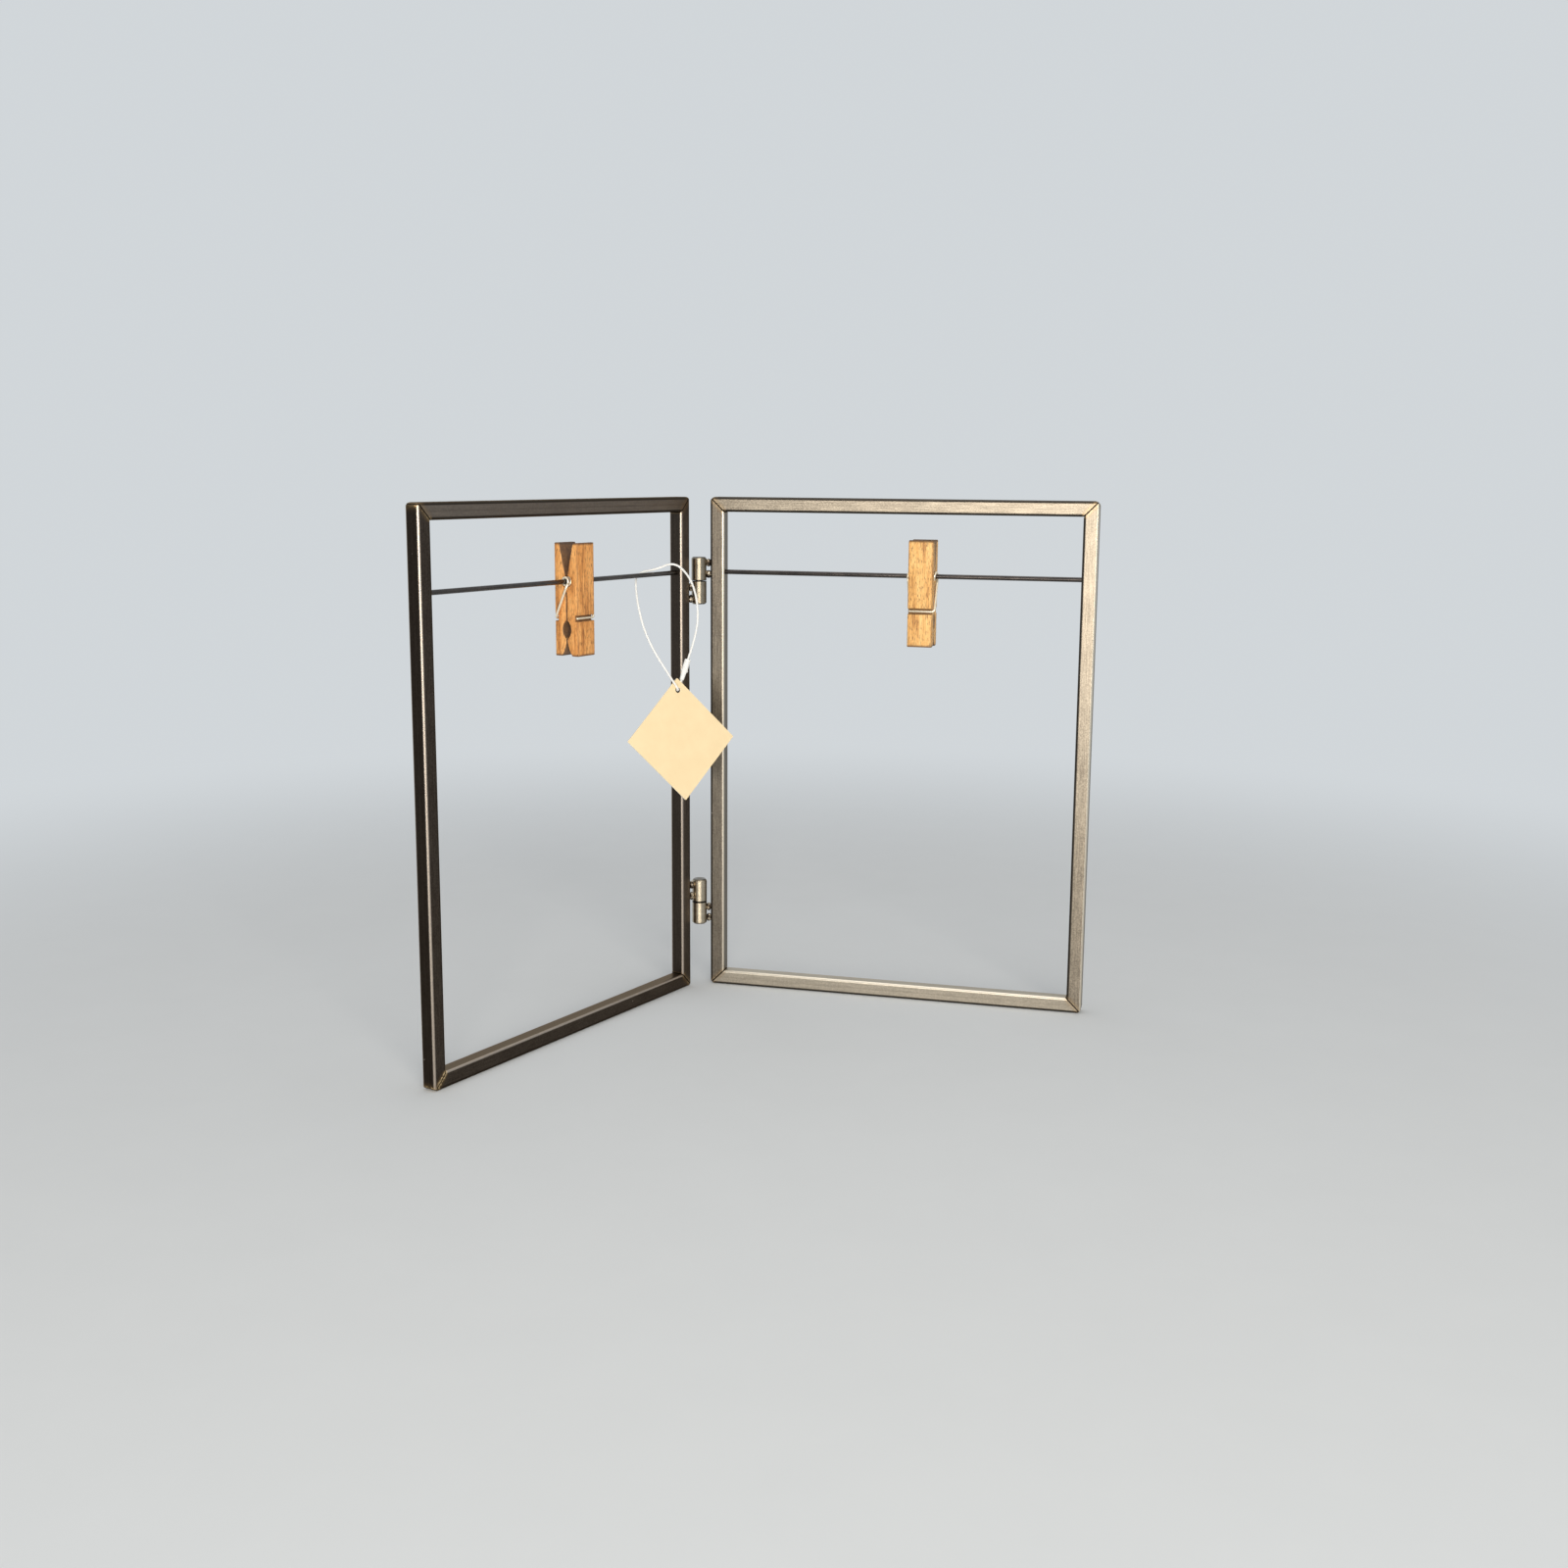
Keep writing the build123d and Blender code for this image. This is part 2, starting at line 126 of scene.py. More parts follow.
def node(tree, kind, inputs=(), **settings):
    """A new node with its settings and its inputs by name or number."""
    made = tree.nodes.new(kind)
    for name, value in settings.items():
        setattr(made, name, value)
    for key, value in dict(inputs).items():
        put(tree, made.inputs[key], value)
    return made


def calc(tree, operation, first, second=0.0, third=0.0):
    """One Math node's result."""
    made = node(tree, "ShaderNodeMath", {0: first, 1: second, 2: third}, operation=operation)
    return made.outputs[0]


def span(tree, value, low, high, to_low=0.0, to_high=1.0):
    """A smooth step of a value between two limits."""
    made = node(
        tree,
        "ShaderNodeMapRange",
        {"Value": value, 1: low, 2: high, 3: to_low, 4: to_high},
        interpolation_type="SMOOTHSTEP",
    )
    return made.outputs["Result"]


def product(tree, first, second):
    """Two values multiplied."""
    return calc(tree, "MULTIPLY", first, second)


def distance(tree, first, second):
    """How far apart two values are."""
    return calc(tree, "ABSOLUTE", calc(tree, "SUBTRACT", first, second))


def blend_colour(tree, factor, first, second):
    """Mixes two colours by a factor."""
    made = node(tree, "ShaderNodeMix", data_type="RGBA", blend_type="MIX")
    put(tree, made.inputs[0], factor)
    put(tree, made.inputs[6], first)
    put(tree, made.inputs[7], second)
    return made.outputs[2]


def grain(tree, vector, scale, detail=3.0, rough=0.5, twist=0.0):
    """A noise value on a vector."""
    made = node(
        tree,
        "ShaderNodeTexNoise",
        {
            "Vector": vector,
            "Scale": scale,
            "Detail": detail,
            "Roughness": rough,
            "Distortion": twist,
        },
    )
    return made.outputs[0]


def stretched(tree, vector, scale):
    """A vector multiplied along each axis."""
    made = node(tree, "ShaderNodeVectorMath", {0: vector, 1: scale}, operation="MULTIPLY")
    return made.outputs["Vector"]


def shades(tree, factor, stops):
    """A colour ramp through the given stops."""
    made = node(tree, "ShaderNodeValToRGB", {0: factor})
    ramp = made.color_ramp
    while len(ramp.elements) < len(stops):
        ramp.elements.new(0.5)
    for element, (place, colour) in zip(ramp.elements, stops):
        element.position = place
        element.color = (*colour, 1)
    return made.outputs["Color"]


def material(name):
    """A new material with its tree and shader."""
    made = bpy.data.materials.new(name)
    made.use_nodes = True
    tree = made.node_tree
    shader = tree.nodes["Principled BSDF"]
    return made, tree, shader


def local_vector(tree, side, origin):
    """Object coordinates turned to a panel: X along, Y to the rear or front, Z up."""
    turn = 0.0 if side == "right" else fold_angle
    start = Matrix.Rotation(turn, 3, "Z") @ mm(origin)
    coordinates = node(tree, "ShaderNodeTexCoord")
    made = node(
        tree,
        "ShaderNodeMapping",
        {"Vector": coordinates.outputs["Object"], "Rotation": (0, 0, turn), "Location": -start},
        vector_type="POINT",
    )
    return made.outputs["Vector"]


def bumped(tree, height, strength, depth):
    """A normal bent by a height value."""
    made = node(
        tree, "ShaderNodeBump", {"Height": height, "Strength": strength, "Distance": depth}
    )
    return made.outputs["Normal"]


def facing(tree, direction):
    """How squarely a face looks in a direction of the object's own frame."""
    own_normal = node(tree, "ShaderNodeTexCoord").outputs["Normal"]
    made = node(
        tree, "ShaderNodeVectorMath", {0: own_normal, 1: direction}, operation="DOT_PRODUCT"
    )
    return made.outputs["Value"]


# Colours, as linear light: the left panel's colours are painted darker as shade, though both panels
# are the same metal
steel_dark = {"left": (0.052, 0.040, 0.032, 1), "right": (0.200, 0.167, 0.128, 1)}
steel_light = {"left": (0.130, 0.106, 0.086, 1), "right": (0.420, 0.358, 0.278, 1)}
# Painted highlight colour for the edges and stretches of bar that face the light
painted_highlight_tone = {"left": (0.47, 0.40, 0.335, 1), "right": (0.80, 0.72, 0.59, 1)}
# Painted shade for dark edge outlines and the knuckles' dark bands
painted_dark_shade = (0.020, 0.016, 0.013, 1)
# Painted shade for faces turned from the light and the darker ends of the panels
painted_shade_tone = {"left": (0.0130, 0.0082, 0.0050, 1), "right": (0.050, 0.042, 0.034, 1)}
# Painted light on the top faces of the left panel's low rails
painted_low_top_tone = (0.185, 0.150, 0.112, 1)
glancing = {"left": (0.80, 0.68, 0.56, 1), "right": (1.0, 0.96, 0.90, 1)}
steel_tint = (0.30, 0.185, 0.080, 1)
seam_dark = (0.012, 0.010, 0.009, 1)
weld_gold = (1.0, 0.74, 0.40, 1)
dust_colour = (0.55, 0.50, 0.44, 1)
barrel_height = {"upper": upper_hinge_height, "lower": lower_hinge_height}
# The lower knuckles' colours are a brighter copy of the upper ones' as painted light
lit_copy_gain = {"upper": 1.0, "lower": 1.5}

# Heights in metres between which the low rails' painted light and shade gives way to the high
# rails'
rail_split = (0.10, 0.12)


def bar_distances(tree, parts, upright):
    """Distances in from the panel's outer edges, and off the tube's middle planes."""
    middle = (stile_to_axis + panel_width / 2) * MILLIMETRE
    half_width = panel_width / 2 * MILLIMETRE
    half_height = panel_height / 2 * MILLIMETRE
    tube_half = tube_size / 2 * MILLIMETRE
    inward = calc(tree, "SUBTRACT", half_width, distance(tree, parts.outputs[0], middle))
    upward = calc(tree, "SUBTRACT", half_height, distance(tree, parts.outputs[2], half_height))
    off_side = distance(tree, inward if upright else upward, tube_half)
    depth = calc(tree, "ABSOLUTE", parts.outputs[1])
    off_depth = distance(tree, depth, -tube_middle * MILLIMETRE)
    return inward, upward, off_side, off_depth


def bar_tones(tree, colour, side, upright, away, rise):
    """Painted light and shade: low rails toned apart from high ones, and each panel from end to
    end.
    """
    if upright and side == "left":
        near = span(tree, away, 0.03, 0.06, 0.10, 0.0)
        far = span(tree, away, 0.05, 0.13, 0.0, 0.42)
        colour = blend_colour(tree, near, colour, painted_highlight_tone[side])
        return blend_colour(tree, far, colour, painted_shade_tone[side])
    if upright:
        near_to_far = span(tree, away, 0.05, 0.13, 0.40, 0.10)
        return blend_colour(tree, near_to_far, colour, painted_shade_tone[side])
    if side == "left":
        low_tone = blend_colour(tree, 0.40, colour, painted_shade_tone[side])
        high_tone = blend_colour(tree, 0.23, colour, painted_highlight_tone[side])
        return blend_colour(tree, span(tree, rise, *rail_split), low_tone, high_tone)
    low = span(tree, rise, *rail_split, 0.30, 0.0)
    far = span(tree, away, 0.09, 0.16, 0.0, 0.12)
    colour = blend_colour(tree, low, colour, painted_highlight_tone[side])
    return blend_colour(tree, far, colour, painted_shade_tone[side])


def face_tones(tree, colour, side, upright, rise):
    """Painted shade on faces turned away from the hinge, and on the very top."""
    shaded_face_mask = facing(tree, along[side] if upright else up)
    shaded_face_mask = span(tree, shaded_face_mask, 0.70, 0.95, 0.0, 0.66 if upright else 0.85)
    if not upright:
        if side == "left":
            # Painted light: the low left rails' top faces get a lighter, warmer tone
            warm = product(tree, shaded_face_mask, span(tree, rise, *rail_split, 0.7, 0.0))
            colour = blend_colour(tree, warm, colour, painted_low_top_tone)
        shaded_face_mask = product(tree, shaded_face_mask, span(tree, rise, *rail_split))
    return blend_colour(tree, shaded_face_mask, colour, painted_shade_tone[side])


def edge_tones(tree, colour, side, upright, parts, off_edge, outer_distance):
    """Painted highlights on the edges above the low rails and away from the hinge, painted shade on
    the other edges.
    """
    if upright:
        half = (stile_to_axis + panel_width / 2) * MILLIMETRE
        place = parts.outputs[0]
    else:
        half = panel_height / 2 * MILLIMETRE
        place = parts.outputs[2]
    heading = span(tree, place, half - 0.001, half + 0.001, 1.0, -1.0)
    outward = calc(tree, "SUBTRACT", outer_distance, tube_size / 2 * MILLIMETRE)
    lit_edge_mask = span(tree, product(tree, outward, heading), 0.0002, 0.0012)
    if not upright:
        lit_edge_mask = product(tree, lit_edge_mask, span(tree, place, *rail_split, 1.0, 0.0))
    # Painted shade on the edges that get no painted highlight
    shadow = calc(tree, "SUBTRACT", 0.88, product(tree, lit_edge_mask, 0.88))
    shadow = product(tree, shadow, span(tree, off_edge, 0.0019, 0.0023))
    colour = blend_colour(tree, shadow, colour, painted_dark_shade)
    bright = product(tree, lit_edge_mask, span(tree, off_edge, 0.0022, 0.0027, 0.0, 0.85))
    return blend_colour(tree, bright, colour, painted_highlight_tone[side]), bright


def mitre_tones(tree, colour, side, place, parts, inward, upward, mottle):
    """Heat tint, ground weld and a dark hairline at the mitres."""
    seam = product(tree, calc(tree, "SUBTRACT", inward, upward), math.sqrt(0.5))
    seam = calc(tree, "ABSOLUTE", seam)
    near_corner = calc(tree, "MAXIMUM", inward, upward)
    near_corner = span(tree, near_corner, 0.0066, 0.0074, 1.0, 0.0)
    patchy = calc(tree, "MULTIPLY_ADD", mottle, 0.0022, calc(tree, "ADD", seam, -0.0011))
    tint = span(tree, patchy, 0.0004, 0.0026, 0.28, 0.0)
    colour = blend_colour(tree, product(tree, tint, near_corner), colour, steel_tint)
    scratches = grain(tree, stretched(tree, place, (1.0, 1.0, 0.22)), 3600, 3, 0.7, 0.8)
    ground = product(
        tree, span(tree, patchy, 0.0002, 0.0013, 1.0, 0.0), span(tree, scratches, 0.44, 0.54)
    )
    ground = product(tree, ground, near_corner)
    if side == "left":
        # The ground weld shows most at the low outer corner
        low = span(tree, parts.outputs[2], 0.007, 0.010, 0.95, 0.22)
        out = span(tree, parts.outputs[0], 0.10, 0.12, 0.35, 1.0)
        ground = product(tree, ground, product(tree, low, out))
        worn = span(tree, grain(tree, place, 420, 2, 0.5), 0.42, 0.56, 0.15, 1.0)
        ground = product(tree, ground, worn)
    else:
        ground = product(tree, ground, 0.22)
    colour = blend_colour(tree, ground, colour, weld_gold)
    line = calc(tree, "ADD", seam, calc(tree, "MULTIPLY_ADD", scratches, 0.00016, -0.00008))
    line = product(tree, span(tree, line, 0.00020, 0.00036, 0.95, 0.0), near_corner)
    return blend_colour(tree, line, colour, seam_dark), line


def steel_material(side, upright):
    """Satin lacquered mill-finish steel, streaked along its bar."""
    lay_of_streaks = "upright" if upright else "level"
    made, tree, shader = material(f"satin_steel_{side}_{lay_of_streaks}")
    place = local_vector(tree, side, fold_axis)
    parts = node(tree, "ShaderNodeSeparateXYZ", {0: place})
    away, rise = parts.outputs[0], parts.outputs[2]
    streak_scale = (1.0, 1.0, 0.035) if upright else (0.035, 1.0, 1.0)
    clouds = grain(tree, place, 60, 3, 0.55)
    mottle = grain(tree, place, 1500, 3, 0.6)
    streaks = grain(tree, stretched(tree, place, streak_scale), 2600, 3, 0.6)
    tone = calc(tree, "MULTIPLY_ADD", clouds, 0.16, product(tree, mottle, 0.42))
    tone = calc(tree, "MULTIPLY_ADD", streaks, 0.42, tone)
    tone = span(tree, tone, 0.36, 0.66)
    colour = blend_colour(tree, tone, steel_dark[side], steel_light[side])
    colour = bar_tones(tree, colour, side, upright, away, rise)
    colour = face_tones(tree, colour, side, upright, rise)
    # A faint line of painted shade along the middles of the tube's faces, where they dip; the dip
    # is bumped in too
    inward, upward, off_side, off_depth = bar_distances(tree, parts, upright)
    ragged = calc(tree, "MULTIPLY_ADD", mottle, 0.00016, -0.00008)
    off_edge = calc(tree, "ADD", calc(tree, "MINIMUM", off_side, off_depth), ragged)
    dip_and_shade = span(tree, off_edge, 0.00005, 0.00055, 0.20, 0.0)
    colour = blend_colour(tree, dip_and_shade, colour, steel_dark[side])
    outer_distance = inward if upright else upward
    colour, bright = edge_tones(tree, colour, side, upright, parts, off_edge, outer_distance)
    colour, line = mitre_tones(tree, colour, side, place, parts, inward, upward, mottle)
    dust = span(tree, grain(tree, place, 700, 1, 0.5), 0.80, 0.825)
    colour = blend_colour(tree, product(tree, dust, 0.7), colour, dust_colour)
    put(tree, shader.inputs["Base Color"], colour)
    shader.inputs["Metallic"].default_value = 1.0
    rough = calc(tree, "MULTIPLY_ADD", mottle, 0.20, 0.26)
    rough = calc(tree, "MULTIPLY_ADD", dust, 0.3, rough)
    rough = calc(tree, "MULTIPLY_ADD", line, 0.3, rough)
    put(tree, shader.inputs["Roughness"], rough)
    shader.inputs["Specular Tint"].default_value = glancing[side]
    shader.inputs["Coat Weight"].default_value = 0.05 if side == "left" else 0.12
    shader.inputs["Coat Roughness"].default_value = 0.28
    # Streaks and dips stand out except on the edges with painted highlights
    relief = calc(tree, "MULTIPLY_ADD", streaks, 0.6, product(tree, mottle, 0.8))
    relief = calc(tree, "MULTIPLY_ADD", dip_and_shade, -1.6, relief)
    relief = product(tree, relief, calc(tree, "MULTIPLY_ADD", bright, -0.9, 1.0))
    put(tree, shader.inputs["Normal"], bumped(tree, relief, 0.22, 0.00007))
    return made


def barrel_material(level):
    """Turned and polished steel of the hinge knuckles, with fine rings."""
    made, tree, shader = material("polished_steel_" + level)
    lit_gain = lit_copy_gain[level]
    place = node(tree, "ShaderNodeTexCoord").outputs["Object"]
    rings = grain(tree, stretched(tree, place, (0.02, 0.02, 1.0)), 3200, 2, 0.5)
    clouds = grain(tree, place, 260, 3, 0.6)
    tone = calc(tree, "MULTIPLY_ADD", rings, 0.7, product(tree, clouds, 0.3))
    colour = blend_colour(
        tree,
        span(tree, tone, 0.3, 0.75),
        (0.290 * lit_gain, 0.248 * lit_gain, 0.187 * lit_gain, 1),
        (0.375 * lit_gain, 0.328 * lit_gain, 0.250 * lit_gain, 1),
    )
    # Painted shade darkens the knuckles next to the joint between them, and at their outer ends
    rise = node(tree, "ShaderNodeSeparateXYZ", {0: place}).outputs[2]
    off_joint = distance(tree, rise, barrel_height[level] * MILLIMETRE)
    for start, end, weight_at_start, weight_at_end in (
        (0.36, 0.52, 0.92, 0.0),
        (knuckle_height - 0.20, knuckle_height - 0.05, 0.0, 0.65),
    ):
        joint_shade = span(
            tree, off_joint, start * MILLIMETRE, end * MILLIMETRE, weight_at_start, weight_at_end
        )
        colour = blend_colour(tree, joint_shade, colour, painted_dark_shade)
    put(tree, shader.inputs["Base Color"], colour)
    shader.inputs["Metallic"].default_value = 1.0
    put(tree, shader.inputs["Roughness"], calc(tree, "MULTIPLY_ADD", rings, 0.08, 0.27))
    # The turning lines draw the highlight out along the barrel
    shader.inputs["Anisotropic"].default_value = 0.9
    shader.inputs["Anisotropic Rotation"].default_value = 0.25
    around = node(tree, "ShaderNodeTangent", direction_type="RADIAL", axis="Z")
    put(tree, shader.inputs["Tangent"], around.outputs["Tangent"])
    put(tree, shader.inputs["Normal"], bumped(tree, rings, 0.01, 0.00002))
    return made


def weld_material():
    """Bead metal, brighter than the tube, with brown and straw heat colours, and near-black and
    pale patches painted in as shade and highlights.
    """
    made, tree, shader = material("weld_bead")
    place = node(tree, "ShaderNodeTexCoord").outputs["Object"]
    clouds = grain(tree, place, 700, 4, 0.6)
    # The near-black and pale stops are painted shade and painted highlights; the browns are heat
    # colours
    colour = shades(
        tree,
        clouds,
        (
            (0.40, (0.020, 0.015, 0.012)),
            (0.50, (0.100, 0.074, 0.050)),
            (0.58, (0.520, 0.450, 0.350)),
            (0.72, (0.160, 0.096, 0.050)),
        ),
    )
    put(tree, shader.inputs["Base Color"], colour)
    shader.inputs["Metallic"].default_value = 0.9
    put(tree, shader.inputs["Roughness"], calc(tree, "MULTIPLY_ADD", clouds, 0.25, 0.2))
    put(tree, shader.inputs["Normal"], bumped(tree, clouds, 0.3, 0.0001))
    return made


def rod_material(side):
    """Drawn dark wire rod with faint lengthwise lines."""
    made, tree, shader = material(f"rod_steel_{side}")
    place = local_vector(tree, side, fold_axis)
    lines = grain(tree, stretched(tree, place, (0.02, 1.0, 1.0)), 5000, 2, 0.6)
    clouds = grain(tree, place, 150, 3, 0.6)
    tone = calc(tree, "MULTIPLY_ADD", lines, 0.4, product(tree, clouds, 0.6))
    colour = blend_colour(
        tree, span(tree, tone, 0.3, 0.7), (0.022, 0.016, 0.013, 1), (0.066, 0.051, 0.042, 1)
    )
    put(tree, shader.inputs["Base Color"], colour)
    shader.inputs["Metallic"].default_value = 1.0
    put(tree, shader.inputs["Roughness"], calc(tree, "MULTIPLY_ADD", clouds, 0.10, 0.14))
    shader.inputs["Coat Weight"].default_value = 0.8
    shader.inputs["Coat Roughness"].default_value = 0.12
    put(tree, shader.inputs["Normal"], bumped(tree, lines, 0.05, 0.00004))
    return made


def wire_material():
    """Bright plated spring wire, a little drawn and dulled."""
    made, tree, shader = material("spring_wire")
    place = node(tree, "ShaderNodeTexCoord").outputs["Object"]
    clouds = grain(tree, place, 900, 3, 0.6)
    colour = blend_colour(tree, clouds, (0.80, 0.68, 0.50, 1), (0.99, 0.90, 0.72, 1))
    put(tree, shader.inputs["Base Color"], colour)
    shader.inputs["Metallic"].default_value = 0.7
    put(tree, shader.inputs["Roughness"], calc(tree, "MULTIPLY_ADD", clouds, 0.2, 0.22))
    put(tree, shader.inputs["Normal"], bumped(tree, clouds, 0.08, 0.00004))
    return made


def stain_and_shade_weight(tree, place, clouds):
    """Stain gathered at a half's ends and edges, and painted shade in its groove and where the
    halves meet.
    """
    parts = node(tree, "ShaderNodeSeparateXYZ", {0: place})
    ragged = calc(tree, "MULTIPLY_ADD", clouds, 0.0009, -0.00045)
    rise = calc(tree, "ADD", parts.outputs[2], ragged)
    top = clip_handle * MILLIMETRE
    foot = -clip_jaw * MILLIMETRE
    top_end = span(tree, rise, top - 0.0013, top - 0.0002)
    low_end = span(tree, rise, foot + 0.0002, foot + 0.0013, 1.0, 0.0)
    across = calc(tree, "ABSOLUTE", calc(tree, "ADD", parts.outputs[0], ragged))
    depth = calc(tree, "ABSOLUTE", parts.outputs[1])
    to_edge = calc(
        tree,
        "MAXIMUM",
        calc(tree, "SUBTRACT", clip_width / 2 * MILLIMETRE, across),
        calc(tree, "SUBTRACT", clip_half_depth * MILLIMETRE, depth),
    )
    side_edge = span(tree, to_edge, 0.0001, 0.0006, 0.5, 0.0)
    # Painted shade in the groove and along the line where the halves meet
    from_groove = distance(tree, parts.outputs[2], -groove_depth_down * MILLIMETRE)
    groove_half = groove_height / 2 * MILLIMETRE
    groove_floor = (clip_half_depth - groove_cut) * MILLIMETRE
    in_groove = product(
        tree,
        span(tree, from_groove, groove_half - 0.0001, groove_half + 0.0005, 1.0, 0.0),
        span(tree, depth, groove_floor - 0.0003, groove_floor + 0.0001),
    )
    meeting = span(tree, calc(tree, "ADD", depth, ragged), 0.00015, 0.00050, 1.0, 0.0)
    stain_and_shade = calc(tree, "MAXIMUM", top_end, low_end)
    for other in (side_edge, in_groove, meeting):
        stain_and_shade = calc(tree, "MAXIMUM", stain_and_shade, other)
    return stain_and_shade


def wood_material(side, half, at, seed, pale, mid, deep):
    """Stained beech with upright grain, dark pores, and darker ends and cuts."""
    made, tree, shader = material(f"clip_wood_{side}_{half}")
    origin = on_panel(side, at, rod_height, tube_middle)
    place = local_vector(tree, side, origin)
    moved = node(
        tree, "ShaderNodeVectorMath", {0: place, 1: (seed, seed * 0.7, seed * 0.3)}, operation="ADD"
    ).outputs["Vector"]
    bands = grain(tree, stretched(tree, moved, (1.0, 1.0, 0.085)), 520, 3, 0.55, 0.6)
    fibres = grain(tree, stretched(tree, moved, (1.0, 1.0, 0.05)), 2600, 3, 0.6)
    flecks = grain(tree, stretched(tree, moved, (1.0, 1.0, 0.13)), 3300, 2, 0.55)
    clouds = grain(tree, moved, 170, 3, 0.6)
    tone = calc(tree, "MULTIPLY_ADD", fibres, 0.45, product(tree, bands, 0.55))
    colour = shades(tree, tone, ((0.37, deep), (0.47, mid), (0.59, pale)))
    warm = span(tree, clouds, 0.35, 0.7, 0.0, 0.35)
    colour = blend_colour(tree, warm, colour, (*mid, 1))
    fleck = span(tree, flecks, 0.54, 0.64)
    colour = blend_colour(tree, product(tree, fleck, 0.70), colour, (0.130, 0.052, 0.018, 1))
    stain_and_shade = product(tree, stain_and_shade_weight(tree, place, clouds), 0.88)
    colour = blend_colour(tree, stain_and_shade, colour, (0.105, 0.050, 0.022, 1))
    # The faces that look at the other half are greyer and darker, partly stain and partly painted
    # shade
    to_other_half = facing(tree, front[side] * (-1 if half == "front" else 1))
    shaded = span(tree, to_other_half, 0.35, 0.85, 0.0, 0.82)
    colour = blend_colour(tree, shaded, colour, (0.075, 0.052, 0.040, 1))
    put(tree, shader.inputs["Base Color"], colour)
    put(tree, shader.inputs["Roughness"], calc(tree, "MULTIPLY_ADD", fibres, 0.22, 0.42))
    shader.inputs["Specular IOR Level"].default_value = 0.4
    relief = calc(tree, "MULTIPLY_ADD", fleck, -0.8, product(tree, fibres, 0.7))
    put(tree, shader.inputs["Normal"], bumped(tree, relief, 0.35, 0.00008))
    return made


def card_material():
    """Uncoated cream card with faint fibres."""
    made, tree, shader = material("cream_card")
    place = node(tree, "ShaderNodeTexCoord").outputs["Object"]
    clouds = grain(tree, place, 120, 4, 0.6)
    fibres = grain(tree, place, 2400, 4, 0.7, 1.2)
    tone = calc(tree, "MULTIPLY_ADD", fibres, 0.4, product(tree, clouds, 0.6))
    colour = blend_colour(
        tree, span(tree, tone, 0.3, 0.7), (0.82, 0.655, 0.400, 1), (0.87, 0.705, 0.445, 1)
    )
    # Painted highlight: the cut edges are paler than the faces
    squarely = calc(tree, "ABSOLUTE", facing(tree, tag_front))
    lit_card_edge = span(tree, squarely, 0.3, 0.7, 0.8, 0.0)
    colour = blend_colour(tree, lit_card_edge, colour, (0.96, 0.90, 0.76, 1))
    put(tree, shader.inputs["Base Color"], colour)
    put(tree, shader.inputs["Roughness"], calc(tree, "MULTIPLY_ADD", fibres, 0.1, 0.78))
    shader.inputs["Specular IOR Level"].default_value = 0.3
    put(tree, shader.inputs["Normal"], bumped(tree, fibres, 0.12, 0.00005))
    return made


def nylon_material():
    """Milky nylon."""
    made, tree, shader = material("milky_nylon")
    place = node(tree, "ShaderNodeTexCoord").outputs["Object"]
    clouds = grain(tree, place, 160, 3, 0.6)
    colour = blend_colour(tree, clouds, (0.90, 0.90, 0.88, 1), (0.97, 0.97, 0.95, 1))
    put(tree, shader.inputs["Base Color"], colour)
    put(tree, shader.inputs["Roughness"], calc(tree, "MULTIPLY_ADD", clouds, 0.15, 0.28))
    shader.inputs["Transmission Weight"].default_value = 0.15
    shader.inputs["IOR"].default_value = 1.53
    put(tree, shader.inputs["Normal"], bumped(tree, clouds, 0.05, 0.00005))
    return made


steel = {
    (side, upright): steel_material(side, upright)
    for side in ("right", "left")
    for upright in (True, False)
}
polished = {level: barrel_material(level) for level in ("upper", "lower")}
bead_metal = weld_material()
rod_metal = {side: rod_material(side) for side in ("right", "left")}
wire_metal = wire_material()
nylon = nylon_material()


def finish_piece(piece, name, body, finish, node_name):
    """Names and dresses a piece, lets it ride on its body and replace its CAD node."""
    piece.name = name
    piece.data.materials.clear()
    piece.data.materials.append(finish)
    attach(piece, body)
    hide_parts(node_name)


def dress(node_name, finish):
    """Gives a CAD node a new finish."""
    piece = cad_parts[node_name]
    if not piece.data.materials:
        piece.data.materials.append(finish)
    for place in range(len(piece.data.materials)):
        piece.data.materials[place] = finish


def cleaned_mesh(node_name, flat_angle):
    """A CAD node's mesh with its doubled points and needless edges taken out."""
    tools = bmesh.new()
    tools.from_mesh(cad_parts[node_name].data)
    bmesh.ops.remove_doubles(tools, verts=tools.verts, dist=merge_distance)
    bmesh.ops.dissolve_limit(
        tools, angle_limit=math.radians(flat_angle), verts=tools.verts, edges=tools.edges
    )
    return tools


def smooth(piece, sharp_angle=None):
    """Shades a piece smooth, with edges over an angle left sharp."""
    for face in piece.data.polygons:
        face.use_smooth = True
    if sharp_angle:
        piece.data.set_sharp_from_angle(angle=math.radians(sharp_angle))


def object_from(mesh_tools, name):
    """A new mesh object out of bmesh data."""
    data = bpy.data.meshes.new(name)
    mesh_tools.to_mesh(data)
    mesh_tools.free()
    piece = bpy.data.objects.new(name, data)
    bpy.context.scene.collection.objects.link(piece)
    return piece


# Camera, at the photograph's viewing point
camera_point = Vector((175.867, -656.530, 230.020))
camera_yaw = -0.2579
camera_pitch = -0.1788
camera_roll = 0.0068
camera_lens = 40.69

